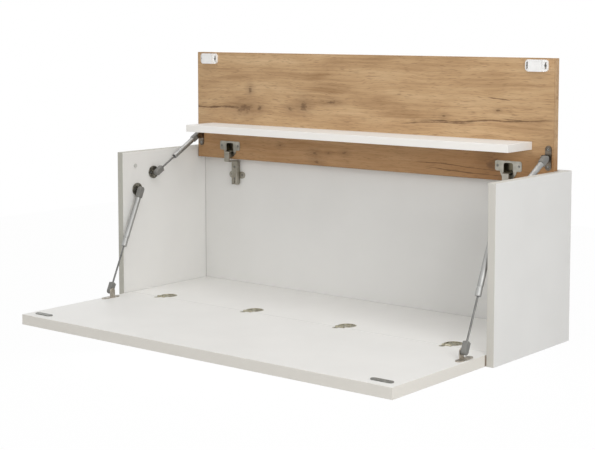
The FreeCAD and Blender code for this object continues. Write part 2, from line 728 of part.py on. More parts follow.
def flap_hinge_leaf(x):
    """The flap half: a round lug let into the flap, with a tongue and barrel at the seam."""
    left = leaf_barrel_left(x)
    barrel = bar("+X", left, FLAP_AXIS_Y, "0", "barrel_radius", "leaf_barrel_length")
    hole = bar("+X", left, FLAP_AXIS_Y, "0", "flap_pin_radius + slide_clearance", "leaf_barrel_length")
    return cut(fuse(leaf_plug(x) + [barrel]), [hole])


def flap_hinge_pin(x):
    length = "leaf_barrel_length + barrel_split + cup_barrel_length"
    return bar("+X", leaf_barrel_left(x), FLAP_AXIS_Y, "0", "flap_pin_radius", length)


def barrel_room(x):
    """The half-round relief that both boards have round a flap hinge's barrels."""
    left = f"{leaf_barrel_left(x)} - barrel_relief"
    length = "leaf_barrel_length + barrel_split + cup_barrel_length + 2 * barrel_relief"
    return bar("+X", left, FLAP_AXIS_Y, "0", "barrel_radius + barrel_relief", length)


# Catches

def catch_housing(x):
    """A magnetic catch's housing: a rounded block with a thin, slotted screw ear at each end."""
    body = new_body("catch")
    half = "catch_length / 2"
    face = rectangle(body, "XZ_Plane", (f"-{half}", "0"), (half, "catch_height"))
    rounded(body, pad(body, face, "catch_depth"), "catch_round", runs_along(DIRECTIONS["+Y"]))
    place(body, x, LID_FACE_Y, CATCH_LOW_Z)
    screw_z = f"{CATCH_LOW_Z} + catch_height / 2"
    ear_face = f"{LID_FACE_Y} - ear_thickness"
    cleared = []
    for sign in ("-", "+"):
        ear_x = f"{x} {sign} (catch_length - ear_length) / 2"
        front = f"{LID_FACE_Y} - catch_depth"
        step = "catch_depth - ear_thickness"
        cleared.append(block(ear_x, front, CATCH_LOW_Z, "ear_length", step, "catch_height"))
        slot_low = f"{screw_z} - ear_slot_length / 2"
        cleared.append(block(ear_x, ear_face, slot_low, "ear_slot_width", "ear_thickness", "ear_slot_length"))
    screws = screw_pair("+Y", x, ear_face, screw_z, "X", "(catch_length - ear_length)")
    return cut(body, cleared + screws), screws


def catch_magnet(x):
    """The magnet, let into the housing's upper side, which meets the strike when the desk is shut."""
    low = f"{CATCH_LOW_Z} + catch_height - magnet_height"
    front = f"{LID_FACE_Y} - (catch_depth + magnet_depth) / 2"
    return block(x, front, low, "magnet_length", "magnet_depth", "magnet_height")


def strike(x):
    """A thin round-ended plate on the flap."""
    straight = "strike_length - strike_width"
    pieces = [block(x, f"{STRIKE_Y} - strike_width / 2", "0", straight, "strike_width", "strike_plate")]
    for sign in ("-", "+"):
        end_x = f"{x} {sign} ({straight}) / 2"
        pieces.append(bar("+Z", end_x, STRIKE_Y, "0", "strike_width / 2", "strike_plate"))
    screws = screw_pair("-Z", x, STRIKE_Y, "strike_plate", "X", "strike_screw_pitch")
    return cut(fuse(pieces), screws), screws


# Case fittings

def cam_fitting(side, mouth, y, z):
    """A cam lock in a board and the bolt that ties it to a side panel; mouth is the way its slot faces."""
    inward = {"-Z": "+Z", "+Y": "-Y"}[mouth]
    cam_x = f"{side} * ({INNER_X} - cam_inset)"
    housing = bar(inward, cam_x, y, z, "cam_radius", "cam_length")
    if mouth == "-Z":
        slot = block(cam_x, f"{y} - cam_slot_width / 2", z,
                     "2 * cam_radius", "cam_slot_width", "cam_slot_depth")
        bolt_y, bolt_z = y, f"{z} + cam_length / 2"
    else:
        slot = block(cam_x, f"{y} - cam_slot_depth", f"{z} - cam_slot_width / 2",
                     "2 * cam_radius", "cam_slot_depth", "cam_slot_width")
        bolt_y, bolt_z = f"{y} - cam_length / 2", z
    outward = "+X" if side == "1" else "-X"
    bolt = fuse([
        bar(outward, f"{side} * ({INNER_X} - cam_inset + cam_radius)", bolt_y, bolt_z,
            "bolt_radius", "cam_inset - cam_radius"),
        bar(outward, f"{side} * {INNER_X}", bolt_y, bolt_z, "bolt_thread_radius", "bolt_thread_length"),
    ])
    return housing, cut(housing, [slot]), bolt


def cover_cap(side):
    """A small cap over a spare hole of a side panel."""
    y = "-depth + cap_back"
    z = f"{TOP_Z} - cap_drop"
    face = f"{side} * {INNER_X}"
    inward, outward = ("-X", "+X") if side == "1" else ("+X", "-X")
    return fuse([
        bar(inward, face, y, z, "cap_radius", "cap_thickness"),
        bar(outward, face, y, z, "cap_stem_radius", "cap_stem_length"),
    ])


# Assembly

case_screws = []
lid_screws = []
flap_screws = []
panel_drills = {"left": [], "right": []}
back_drills = []
bottom_drills = []
lid_drills = []
flap_drills = []
shelf_drills = []
cams = []
bolts = []
caps = []
magnets = []
strikes = []
hinge_pins = []

for side_name, side in SIDES:
    inward = "-X" if side == "1" else "+X"
    into_foot = "-1" if side == "1" else "1"
    foot_x = f"{side} * {STRUT_X}"

    # flap strut: tube on the side panel, rod on the flap
    side_y = "(-depth + flap_strut_back)"
    side_z = f"({TOP_Z} - flap_strut_drop)"
    flap_foot_y = f"({FLAP_AXIS_Y} - flap_foot_reach)"
    flap_strut = strut_line(side, side_y, side_z, flap_foot_y, "foot_height", "flap_rod_shown")
    gas_strut(f"{side_name}_flap_strut", flap_strut, None, into_foot)
    bracket, screws = side_bracket(side, inward, side_y, side_z)
    node(bracket, f"{side_name}_flap_strut_side_bracket")
    case_screws += screws
    panel_drills[side_name] += screws
    foot, foot_plate_x = foot_shape(side)
    place(foot, foot_x, flap_foot_y, "0")
    screw_x = f"{foot_x} + {foot_plate_x}"
    screws = screw_pair("-Z", screw_x, flap_foot_y, "foot_plate", "Y", "foot_screw_pitch")
    node(cut(foot, screws), f"{side_name}_flap_strut_foot")
    flap_screws += screws

    # lid strut: rod on the side panel, tube on the lid
    side_y = f"({LID_AXIS_Y} - lid_strut_reach)"
    side_z = f"({TOP_Z} - lid_strut_drop)"
    lid_foot_y = f"({LID_FACE_Y} - foot_height)"
    lid_foot_z = f"({LID_FOOT_Z} + lid_foot_rise)"
    lid_strut = strut_line(side, lid_foot_y, lid_foot_z, side_y, side_z, "lid_rod_shown")
    gas_strut(f"{side_name}_lid_strut", lid_strut, into_foot, None)
    bracket, screws = side_bracket(side, inward, side_y, side_z)
    node(bracket, f"{side_name}_lid_strut_side_bracket")
    case_screws += screws
    panel_drills[side_name] += screws
    foot, foot_plate_x = foot_shape(side)
    place(foot, foot_x, LID_FACE_Y, lid_foot_z, "90")
    plate_y = f"{LID_FACE_Y} - foot_plate"
    screws = screw_pair("+Y", screw_x, plate_y, lid_foot_z, "Z", "foot_screw_pitch")
    node(cut(foot, screws), f"{side_name}_lid_strut_foot")
    lid_screws += screws

    # lid hinge
    hinge_x = f"{side} * ({INNER_X} - lid_hinge_inset)"
    cup = hinge_cup(hinge_x)
    pin = hinge_pin(hinge_x)
    wing_screws = screw_pair("+Y", hinge_x, f"{LID_FACE_Y} - rim_thickness",
                             f"{CUP_Z} + wing_lift", "X", "cup_screw_pitch")
    node(cut(cup, [pin] + wing_screws), f"{side_name}_lid_hinge_cup")
    hinge_pins.append(pin)
    lid_screws += wing_screws
    lid_drills.append(bar("+Y", hinge_x, LID_FACE_Y, CUP_Z, "cup_radius", "cup_depth"))
    arm_screws = [screw("+Y", hinge_x, ARM_FACE_Y, f"{LID_AXIS_Z} - {drop}")
                  for drop in ("arm_screw_high", "arm_screw_low")]
    plate_screws = screw_pair("+Y", hinge_x, "-board - plate_thickness", PLATE_Z, "X", "plate_screw_pitch")
    node(cut(hinge_arm(hinge_x), arm_screws), f"{side_name}_lid_hinge_arm")
    node(cut(hinge_plate(hinge_x), arm_screws + plate_screws), f"{side_name}_lid_hinge_plate")
    case_screws += arm_screws + plate_screws
    back_drills += plate_screws

    # catch and strike
    catch_place = f"{side} * ({INNER_X} - catch_side_inset)"
    housing, screws = catch_housing(catch_place)
    magnet = catch_magnet(catch_place)
    node(cut(housing, [magnet]), f"{side_name}_catch_housing")
    magnets.append(magnet)
    lid_screws += screws
    plate, screws = strike(catch_place)
    strikes.append(plate)
    flap_screws += screws

    # case joints and cover cap
    for cam_y in ("-board - cam_margin", f"{FLAP_AXIS_Y} + cam_margin"):
        blank, cam, bolt = cam_fitting(side, "-Z", cam_y, "-thick_board")
        bottom_drills += [blank, bolt]
        panel_drills[side_name].append(bolt)
        cams.append(cam)
        bolts.append(bolt)
    for cam_z in ("cam_margin", f"{TOP_Z} - cam_margin"):
        blank, cam, bolt = cam_fitting(side, "+Y", "0", cam_z)
        back_drills += [blank, bolt]
        panel_drills[side_name].append(bolt)
        cams.append(cam)
        bolts.append(bolt)
    cap = cover_cap(side)
    caps.append(cap)
    panel_drills[side_name].append(cap)

lid_drills += lid_screws
flap_drills += flap_screws

# flap hinges
flap_cups = []
leaves = []
flap_pins = []
for x in FLAP_HINGES:
    pin = flap_hinge_pin(x)
    cup_floor = "flap_cup_floor - flap_cup_depth"
    screw_y = f"{FLAP_CUP_Y} + flap_cup_screw_back"
    cup_screws = screw_pair("-Z", x, screw_y, cup_floor, "X", "flap_cup_screw_pitch")
    flap_cups.append(cut(flap_hinge_cup(x), [pin] + cup_screws))
    case_screws += cup_screws
    leaf_screw = screw("-Z", leaf_middle(x), LUG_Y, "0")
    leaves.append(cut(flap_hinge_leaf(x), [leaf_screw]))
    flap_screws.append(leaf_screw)
    flap_pins.append(pin)
    room = barrel_room(x)
    bottom_drills.append(fuse(cup_plug(x) + [cup_tongue(x), room]))
    bottom_drills += cup_screws
    flap_drills.append(fuse(leaf_plug(x) + [room]))
    flap_drills.append(leaf_screw)

node(together(flap_cups), "flap_hinge_cups")
node(together(leaves), "flap_hinge_leaves")
node(together(flap_pins), "flap_hinge_pins")
node(together(hinge_pins), "lid_hinge_pins")
node(together(magnets), "catch_magnets")
node(together(strikes), "flap_strikes")

# shelf dowels
dowels = []
outer_dowel = f"({SHELF_END} - dowel_inset)"
for dowel_x in (f"-{outer_dowel}", f"-{outer_dowel} / 3", f"{outer_dowel} / 3", outer_dowel):
    dowel_z = f"{SHELF_TOP_Z} - board / 2"
    dowel_y = f"{LID_FACE_Y} + dowel_in_lid"
    length = "dowel_in_lid + dowel_in_shelf"
    dowels.append(bar("-Y", dowel_x, dowel_y, dowel_z, "dowel_radius", length))
lid_drills += dowels
shelf_drills += dowels
node(together(dowels), "shelf_dowels")

# boards
for side_name, side in SIDES:
    blank = board_blank("board", "depth", "height")
    place(blank, f"{side} * (width - board) / 2 - board / 2", "-depth", "-thick_board")
    node(cut(blank, panel_drills[side_name]), f"{side_name}_side_panel")

wall_hole_z = f"{TOP_Z} - wall_hole_drop"
wall_hole_x = f"({INNER_X} - wall_hole_inset)"
wall_holes = [bar("-Y", f"{side} * {wall_hole_x}", "0", wall_hole_z, "wall_hole_radius", "board")
              for side_name, side in SIDES]
back_blank = board_blank(f"2 * {INNER_X}", "board", "height")
place(back_blank, f"-{INNER_X}", "-board", "-thick_board")
node(cut(back_blank, back_drills + wall_holes), "back_panel")

bottom_front = f"({FLAP_AXIS_Y} + seam_gap)"
bottom_depth = f"-board - {bottom_front}"
bottom_blank = board_blank(f"2 * {INNER_X}", bottom_depth, "thick_board")
place(bottom_blank, f"-{INNER_X}", bottom_front, "-thick_board")
node(cut(bottom_blank, bottom_drills), "bottom_panel")

flap_width = f"2 * ({INNER_X} - flap_side_gap)"
flap_blank = board_blank(flap_width, f"{FLAP_REACH} - seam_gap", "thick_board")
place(flap_blank, f"flap_side_gap - {INNER_X}", f"{FLAP_AXIS_Y} - {FLAP_REACH}", "-thick_board")
node(cut(flap_blank, flap_drills), "flap")

lid_blank = board_blank(f"2 * ({INNER_X} - lid_side_gap)", "board", LID_SPAN)
place(lid_blank, f"lid_side_gap - {INNER_X}", LID_FACE_Y, LID_FOOT_Z)
node(cut(lid_blank, lid_drills), "lid")

shelf_blank = board_blank(f"2 * {SHELF_END}", "shelf_depth", "board")
place(shelf_blank, f"-{SHELF_END}", f"{LID_FACE_Y} - shelf_depth", f"{SHELF_TOP_Z} - board")
node(cut(shelf_blank, shelf_drills), "lid_shelf")

node(together(case_screws), "case_screws")
node(together(lid_screws), "lid_screws")
node(together(flap_screws), "flap_screws")
node(together(cams), "cam_locks")
node(together(bolts), "cam_bolts")
node(together(caps), "cover_caps")

# Build, check and write
doc.recompute()
for thing in doc.Objects:
    if "Invalid" in thing.State or "Error" in thing.State:
        raise RuntimeError(f"{thing.Label} did not build: {thing.State}")
for thing in nodes:
    if thing.Shape.isNull() or not thing.Shape.isValid() or not thing.Shape.Solids:
        raise RuntimeError(f"{thing.Label} has no valid solid")
os.makedirs("parts", exist_ok=True)
for thing in nodes:
    thing.Shape.exportStep(f"parts/{thing.Label}.step")
print(len(nodes), "pieces written")
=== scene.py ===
import math

import bpy
import numpy as np
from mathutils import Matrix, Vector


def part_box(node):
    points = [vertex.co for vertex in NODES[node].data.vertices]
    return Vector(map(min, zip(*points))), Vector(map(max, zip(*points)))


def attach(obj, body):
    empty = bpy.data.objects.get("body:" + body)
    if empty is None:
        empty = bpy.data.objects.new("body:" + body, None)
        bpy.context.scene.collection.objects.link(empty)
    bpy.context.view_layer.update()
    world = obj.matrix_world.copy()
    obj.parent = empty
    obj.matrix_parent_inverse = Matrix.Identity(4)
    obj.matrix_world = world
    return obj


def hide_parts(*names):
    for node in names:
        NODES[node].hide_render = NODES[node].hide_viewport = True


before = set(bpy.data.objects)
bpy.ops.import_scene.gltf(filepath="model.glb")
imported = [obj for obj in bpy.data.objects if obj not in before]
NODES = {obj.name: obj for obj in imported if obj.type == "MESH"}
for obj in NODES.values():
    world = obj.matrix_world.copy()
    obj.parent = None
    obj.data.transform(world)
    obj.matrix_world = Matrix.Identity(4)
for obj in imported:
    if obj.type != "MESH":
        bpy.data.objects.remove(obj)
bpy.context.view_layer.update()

# Looks of a fold-down wall desk: the finish of each board and fitting, its screws, a studio and a camera.
# Lengths are metres, or millimetres where a name says so. X runs to the right, Y to the wall and Z up.

bl_info = {
    "name": "Fold-down wall desk",
    "version": (1, 0, 0),
    "blender": (4, 5, 0),
    "location": "View3D > Sidebar > Wall desk",
    "description": "Finishes, screws, studio and camera for a fold-down wall desk",
    "category": "Object",
}

MM = 0.001
SIDES = ("left", "right")
STRUTS = tuple(f"{side}_{kind}_strut" for side in SIDES for kind in ("flap", "lid"))
SHARP_EDGE = math.radians(35)
FLOOR_GLOW = 0.98  # the rest of the floor's look is its own light and shadow

# Screws
SCREW_REACH = 12 * MM  # a screw's own points lie nearer together, and the next screw lies further off
GOLDEN_ANGLE = 2.399963  # radians
FACE_RINGS = 15
THREAD_RINGS = 40
POINT_RINGS = 6
RECESS_SOFTNESS = 0.3 * MM
RECESS_SLOPE = 0.55  # share of the depth that is lost by the end of an arm
# painted shade: the rim and the recess of each screw head are darkened
RIM_START = 0.6  # share of the head radius from which the rim darkens


def linear(code):
    """The linear colour, with alpha, of an sRGB hex value."""
    parts = np.array([int(code[start:start + 2], 16) for start in (1, 3, 5)]) / 255
    low = parts / 12.92
    high = ((parts + 0.055) / 1.055) ** 2.4
    return (*np.where(parts <= 0.04045, low, high).tolist(), 1.0)


def cycles(size_mm):
    """How many patterns of a size in millimetres lie in a metre."""
    return 1 / (size_mm * MM)


def colour(label, code, words):
    """A colour that a user may change."""
    return bpy.props.FloatVectorProperty(
        name=label, description=words, subtype="COLOR", size=4, min=0, max=1, default=linear(code))


def length(label, millimetres, words):
    """A length that a user may change, given in millimetres."""
    return bpy.props.FloatProperty(
        name=label, description=words, unit="LENGTH", subtype="DISTANCE", min=0, default=millimetres * MM)


def angle(label, degrees, words):
    """An angle that a user may change, given in degrees."""
    return bpy.props.FloatProperty(
        name=label, description=words, unit="ROTATION", subtype="ANGLE", default=math.radians(degrees))


def power(label, watts, words):
    """A lamp's power that a user may change."""
    return bpy.props.FloatProperty(name=label, description=words, unit="POWER", min=0, default=watts)


class DeskFinishes(bpy.types.PropertyGroup):
    """Colours of the desk's materials."""

    white: colour("White board", "#e9e8e5", "melamine faces and edges of the white boards")
    white_shade: colour("White board, shade", "#e6e5e2", "faint clouding of the white boards")
    white_band: colour("White edge", "#e4e0d8", "edge band of the flap")
    shelf_band: colour("Shelf edge", "#f8f5f0", "edge band of the shelf")
    # painted shade: the left side panel's edge band is darker than the right one's, as the light falls
    left_band_shaded: colour("Left edge", "#bab8ae", "edge band of the left side panel")
    right_band: colour("Right edge", "#cfccc4", "edge band of the right side panel")
    # partly painted shade: the glue line is drawn wider and darker than the real one, as shade in the joints
    glue_line_and_joint_shade: colour("Glue line", "#83827c", "fine line round the faces of the back and the bottom panel")
    oak_light: colour("Oak, light", "#d7b78e", "early wood of the oak decor")
    oak: colour("Oak", "#c6a37a", "body of the oak decor")
    oak_dark: colour("Oak, dark", "#a17e58", "late wood of the oak decor")
    # partly painted shade: a browner plank under the shelf, darker towards the right where the shelf's shade
    # falls
    oak_plank_and_shade: colour("Oak, lower plank", "#976533", "browner plank under the shelf")
    oak_pore: colour("Oak, pores", "#7d5d3d", "pores and edge line of the oak decor")
    oak_knot: colour("Oak, knots", "#5d412a", "knots and cracks of the oak decor")
    beech: colour("Beech", "#d9b98f", "dowels of the shelf")
    nickel: colour("Nickel", "#b1ada3", "plated steel of the lid hinges")
    nickel_shade: colour("Nickel, shade", "#9a968a", "darker patches of the plated steel")
    # painted shade: the inside of the hinge cups is darkened for the shade in the hollow
    cup_painted_shade: colour("Hinge cup, inside", "#6f6857", "greased inside of the lid hinge cups")
    passivate: colour("Passivate", "#c8c3ae", "olive plating of the flap hinges")
    passivate_shade: colour("Passivate, shade", "#898370", "darker patches of the olive plating")
    zinc: colour("Zinc", "#b9b8b4", "plating of the screws")
    # painted shade in the screws' recesses and round the rims of their heads
    screw_painted_shade: colour("Screw recess", "#34332f", "dark recess and rim of the screws")
    # painted shadow: the flap's ends are darkened where the gap to the side panels lies in shade
    flap_gap_painted_shadow: colour("Flap gap", "#a4978a", "ends of the flap, where they run between the side panels")
    die_cast: colour("Die casting", "#a9a9a6", "cam locks and bolts")
    white_plastic: colour("White plastic", "#f6f5f3", "catch housings")
    cap_plastic: colour("Cap plastic", "#cbcac5", "cover caps")
    ferrite: colour("Ferrite", "#3a3a3c", "magnets")
    strike: colour("Strike", "#94948f", "strikes on the flap")
    bracket: colour("Flap bracket steel", "#c4bcb0", "feet of the flap's gas struts")
    # painted shade: the lid's strut feet are a darker copy of the flap's bracket steel, for the shade under
    # the shelf
    lid_bracket_shaded: colour("Lid bracket steel", "#80766a", "feet of the lid's gas struts")
    # painted reflection: the grey patches on the black side brackets stand for reflections of the room
    black_steel: colour("Black steel", "#938f83", "lighter patches on the side brackets of the gas struts")
    tube: colour("Strut tube", "#adadab", "silver coating of the gas struts")
    rod: colour("Strut rod", "#767674", "ground rods of the gas struts")
    grey_plastic: colour("Grey plastic", "#7d7c78", "end sockets of the gas struts")
    black_plastic: colour("Black plastic", "#2b2b2b", "seals and pistons of the gas struts")


class DeskDetails(bpy.types.PropertyGroup):
    """Sizes of the small details."""

    recess_reach: length("Recess reach", 1.75, "screw recess, middle to the end of an arm")
    recess_width: length("Recess width", 0.85, "screw recess, width of an arm")
    recess_depth: length("Recess depth", 1.2, "screw recess, depth at its middle")
    thread_depth: length("Thread depth", 0.45, "screw thread, crest to root")
    thread_pitch: length("Thread pitch", 1.2, "screw thread, crest to crest")


class DeskStudio(bpy.types.PropertyGroup):
    """Camera, lamps and floor."""

    camera_place: bpy.props.FloatVectorProperty(
        name="Camera", description="place of the camera", unit="LENGTH", subtype="TRANSLATION",
        default=(1.8328, -2.5240, 0.6197))
    camera_turn: angle("Camera turn", 38.955, "camera's turn to the left of the wall's normal")
    camera_tilt: angle("Camera tilt", 5.320, "camera's tilt below the horizon")
    camera_lens: bpy.props.FloatProperty(
        name="Lens", description="focal length", unit="CAMERA", min=1, default=84.968)
    camera_shift: bpy.props.FloatProperty(
        name="Lens shift", description="vertical shift of the lens, in widths of the picture", default=-0.12)
    ambient: bpy.props.FloatProperty(
        name="Ambient", description="light from all round", min=0, default=0.41)
    key: power("Key lamp", 19.5, "power of the large lamp on the right")
    overhead: power("Overhead lamp", 22, "power of the lamp overhead")
    front: power("Front lamp", 8, "power of the soft lamp in front")
    rear: power("Rear lamp", 26, "power of the soft lamp behind")
    floor_drop: length("Floor", 750, "floor below the work surface")
    floor_colour: colour("Floor", "#fafafa", "plain pale floor")


# Nodes, materials and meshes

def add(tree, kind, links=None, values=None, stops=None, **settings):
    """Add one node with its settings, unlinked values, links into its sockets and stops of its ramp."""
    made = tree.nodes.new("ShaderNode" + kind)
    for name, setting in settings.items():
        setattr(made, name, setting)
    for key, value in (values or {}).items():
        made.inputs[key].default_value = value
    for key, source in (links or {}).items():
        tree.links.new(source, made.inputs[key])
    if stops:
        elements = made.color_ramp.elements
        for position, _ in stops[1:-1]:
            elements.new(position)
        for element, (position, shade) in zip(elements, stops):
            element.position = position
            element.color = shade
    return made


def new_finish(name, values):
    """A material with its shader's plain values, and the coordinates in which its patterns are drawn."""
    material = bpy.data.materials.new(name)
    material.use_nodes = True
    tree = material.node_tree
    tree.nodes.clear()
    shader = add(tree, "BsdfPrincipled", values=values)
    add(tree, "OutputMaterial", links={"Surface": shader.outputs["BSDF"]})
    place = add(tree, "TexCoord").outputs["Object"]
    return material, tree, shader, place


def mottled(name, shade, other_shade, patch_mm, grain_mm, rough, relief_mm, metallic=0.0, stretch=(1, 1, 1),
            layers=(), specular=0.5):
    """A finish with soft patches of two shades, a fine grain in its gloss and relief, and painted layers.

    A layer is a function that gives its mask in the node tree, and its colour."""
    material, tree, shader, place = new_finish(name, {"Metallic": metallic, "Specular IOR Level": specular})
    patches = add(tree, "TexNoise", {"Vector": place}, {"Scale": cycles(patch_mm), "Detail": 3.0})
    spread = add(tree, "MapRange", {"Value": patches.outputs["Fac"]}, {"From Min": 0.35, "From Max": 0.65})
    tone = add(tree, "Mix", {0: spread.outputs["Result"]}, {6: shade, 7: other_shade}, data_type="RGBA")
    for mask, paint in layers:
        tone = add(tree, "Mix", {0: mask(tree, place), 6: tone.outputs[2]}, {7: paint}, data_type="RGBA")
    stretched = add(tree, "Mapping", {"Vector": place}, {"Scale": stretch})
    grain = add(tree, "TexNoise", {"Vector": stretched.outputs["Vector"]},
                {"Scale": cycles(grain_mm), "Detail": 2.0})
    gloss = add(tree, "MapRange", {"Value": grain.outputs["Fac"]}, {"To Min": rough[0], "To Max": rough[1]})
    relief = add(tree, "Bump", {"Height": grain.outputs["Fac"]},
                 {"Strength": 0.4, "Distance": relief_mm * MM})
    tree.links.new(tone.outputs[2], shader.inputs["Base Color"])
    tree.links.new(gloss.outputs["Result"], shader.inputs["Roughness"])
    tree.links.new(relief.outputs["Normal"], shader.inputs["Normal"])
    return material


def darker(shade, share):
    """A colour brought down to a share of its light."""
    return (*[part * share for part in shade[:3]], 1.0)


def dress(material, *names):
    """Give CAD nodes a finish."""
    for name in names:
        slots = NODES[name].data.materials
        slots.clear()
        slots.append(material)


def new_piece(name, points, faces, recess, body, slot, material, replaced):
    """A new mesh piece in place of a CAD node, on the same body, with the painted shade of each point."""
    mesh = bpy.data.meshes.new(name)
    mesh.from_pydata(points, [], faces)
    mesh.attributes.new("recess", "FLOAT", "POINT").data.foreach_set("value", recess)
    mesh.validate()
    mesh.shade_smooth()
    mesh.set_sharp_from_angle(angle=SHARP_EDGE)
    mesh.materials.append(material)
    piece = bpy.data.objects.new(name, mesh)
    bpy.context.scene.collection.objects.link(piece)
    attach(piece, body)
    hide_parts(replaced)


# Boards

def board_edge(node, start_mm, end_mm):
    """A mask that is 1 between two distances from a board's edges, on its faces and its edge bands."""
    low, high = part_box(node)
    centre = (low + high) / 2
    half = (high - low) / 2
    flat = min(range(3), key=lambda axis: half[axis])

    def mask(tree, place):
        """1 where the nearest edge lies between the two distances."""
        local = add(tree, "Mapping", {"Vector": place}, {"Location": -centre})
        off = add(tree, "VectorMath", {0: local.outputs["Vector"]}, operation="ABSOLUTE")
        left = add(tree, "VectorMath", {1: off.outputs["Vector"]}, {0: half}, operation="SUBTRACT")
        parts = add(tree, "SeparateXYZ", {"Vector": left.outputs["Vector"]})
        one, other = [parts.outputs[axis] for axis in range(3) if axis != flat]
        nearest = add(tree, "Math", {0: one, 1: other}, operation="MINIMUM")
        middle = (start_mm + end_mm) / 2 * MM
        reach = (end_mm - start_mm) / 2 * MM
        chosen = add(tree, "Math", {0: nearest.outputs["Value"]}, {1: middle, 2: reach},
                     operation="COMPARE")
        return chosen.outputs["Value"]
    return mask


def flap_end_shadow_mask(tree, place):
    """A mask that is 1 on the flap's ends, where they run between the side panels and just in front, for the
    painted shadow of the gap.
    """
    ahead = 2.5 * MM
    skin = 0.3 * MM
    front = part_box("left_side_panel")[0].y - ahead
    half_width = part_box("flap")[1].x
    parts = add(tree, "SeparateXYZ", {"Vector": place})
    across = add(tree, "Math", {0: parts.outputs["X"]}, operation="ABSOLUTE")
    at_end = add(tree, "Math", {0: across.outputs["Value"]}, {1: half_width - skin},
                 operation="GREATER_THAN")
    behind = add(tree, "Math", {0: parts.outputs["Y"]}, {1: front}, operation="GREATER_THAN")
    both = add(tree, "Math", {0: at_end.outputs["Value"], 1: behind.outputs["Value"]}, operation="MULTIPLY")
    return both.outputs["Value"]


def melamine_board(colours, node, band, glue_and_shade_share):
    """White melamine on particle board, pressed against a pearl plate: even, satin, with a faint pebble.

    Its edge band has its own tone, on the left side panel darker as painted shade. The flap's ends carry a
    painted shadow where they run between the side panels, and a glue line, drawn wide and dark as painted
    shade in the joints, runs round the faces that butt against another board."""
    pebble_mm = 1.6  # the real pebble is about 0.4 mm and would not show
    layers = [(board_edge(node, -0.5, 0.5), band)]
    if node == "flap":
        # painted shadow on the flap's ends, in the gap to the side panels
        layers.append((flap_end_shadow_mask, colours.flap_gap_painted_shadow))
    if glue_and_shade_share:
        pairs = zip(colours.glue_line_and_joint_shade, colours.white)
        glue = [glue_and_shade_share * line + (1 - glue_and_shade_share) * white for line, white in pairs]
        # the real glue line is about 0.2 mm and would not show; this wider, darker one is also painted shade
        # in the joints
        layers.append((board_edge(node, 0.5, 1.7), glue))
    return mottled(f"white_melamine_{node}", colours.white, colours.white_shade, patch_mm=140,
                   grain_mm=pebble_mm, rough=(0.42, 0.52), relief_mm=0.02, layers=layers, specular=0.25)


OAK_KNOTS_MM = (
    # across from the middle, up from the work surface, half width, half height
    (-316, 461, 7, 10),
    (-334, 419, 30, 11),
    (-286, 418, 9, 7),
    (-196, 426, 11, 6),
    (-156, 436, 15, 12),
    (-76, 446, 18, 5),
    (-224, 340, 7, 3),
    (-124, 327, 10, 5),
    (-84, 330, 6, 3),
    (-38, 334, 8, 4),
    (-118, 307, 11, 5),
    (222, 424, 6, 3),
    (352, 440, 6, 3),
    (340, 331, 18, 20),
)
OAK_CRACKS_MM = (
    # start across and up, end across and up, half width
    (-560, 426, -335, 418, 1.6),
    (130, 409, 500, 424, 1.3),
    (110, 403, 300, 413, 1.0),
    (360, 424, 440, 420, 0.8),
    (325, 471, 385, 463, 0.8),
    (120, 328, 420, 312, 0.5),
    (170, 316, 400, 305, 0.6),
)


def oak_knots(tree, place, fray):
    """How strongly the knots darken: a dark heart, a frayed edge and a faint halo round the nearest one."""
    nearest = None
    for across, up, half_width, half_height in OAK_KNOTS_MM:
        centre = (-across / half_width, 0, -up / half_height)
        scale = (cycles(half_width), 0, cycles(half_height))
        local = add(tree, "Mapping", {"Vector": place}, {"Location": centre, "Scale": scale})
        far = add(tree, "VectorMath", {0: local.outputs["Vector"]}, operation="LENGTH").outputs["Value"]
        nearest = far if nearest is None else add(
            tree, "Math", {0: nearest, 1: far}, operation="MINIMUM").outputs["Value"]
    fray_reach = 2.4
    halo_reach = 4.2
    frayed = add(tree, "Math", {0: fray, 2: nearest}, {1: fray_reach}, operation="MULTIPLY_ADD")
    spread = add(tree, "MapRange", {"Value": frayed.outputs["Value"]},
                 {"From Min": fray_reach / 2, "From Max": halo_reach})
    # share of the way from the heart to the halo's end, and the strength there
    strength = [(0.0, 0.8), (0.14, 0.62), (0.26, 0.26), (1.0, 0.0)]
    fall = add(tree, "ValToRGB", {"Fac": spread.outputs["Result"]},
               stops=[(reach, (share, share, share, 1.0)) for reach, share in strength])
    return fall.outputs["Color"]


def oak_crack(tree, place, fray, start, start_up, end, end_up, half_width):
    """How strongly a crack darkens: 1 on a sloping line with a frayed edge, 0 off it and past its ends."""
    parts = add(tree, "SeparateXYZ", {"Vector": place})
    slope = (end_up - start_up) / (end - start)
    level = add(tree, "Math", {0: parts.outputs["X"], 2: parts.outputs["Z"]}, {1: -slope},
                operation="MULTIPLY_ADD")
    off = add(tree, "Math", {0: level.outputs["Value"]}, {1: (start_up - slope * start) * MM},
              operation="SUBTRACT")
    side = add(tree, "Math", {0: off.outputs["Value"]}, operation="ABSOLUTE")
    frayed = add(tree, "Math", {0: fray, 2: side.outputs["Value"]}, {1: 4 * half_width * MM},
                 operation="MULTIPLY_ADD")
    line = add(tree, "MapRange", {"Value": frayed.outputs["Value"]},
               {"From Min": 2.0 * half_width * MM, "From Max": 4.2 * half_width * MM,
                "To Min": 1.0, "To Max": 0.0},
               interpolation_type="SMOOTHSTEP")
    along = add(tree, "Math", {0: parts.outputs["X"]}, {1: (start + end) / 2 * MM}, operation="SUBTRACT")
    reach = add(tree, "Math", {0: along.outputs["Value"]}, operation="ABSOLUTE")
    half = (end - start) / 2 * MM
    within = add(tree, "MapRange", {"Value": reach.outputs["Value"]},
                 {"From Min": 0.6 * half, "From Max": half, "To Min": 1.0, "To Max": 0.0})
    both = add(tree, "Math", {0: line.outputs["Result"], 1: within.outputs["Result"]}, operation="MULTIPLY")
    return both.outputs["Value"]


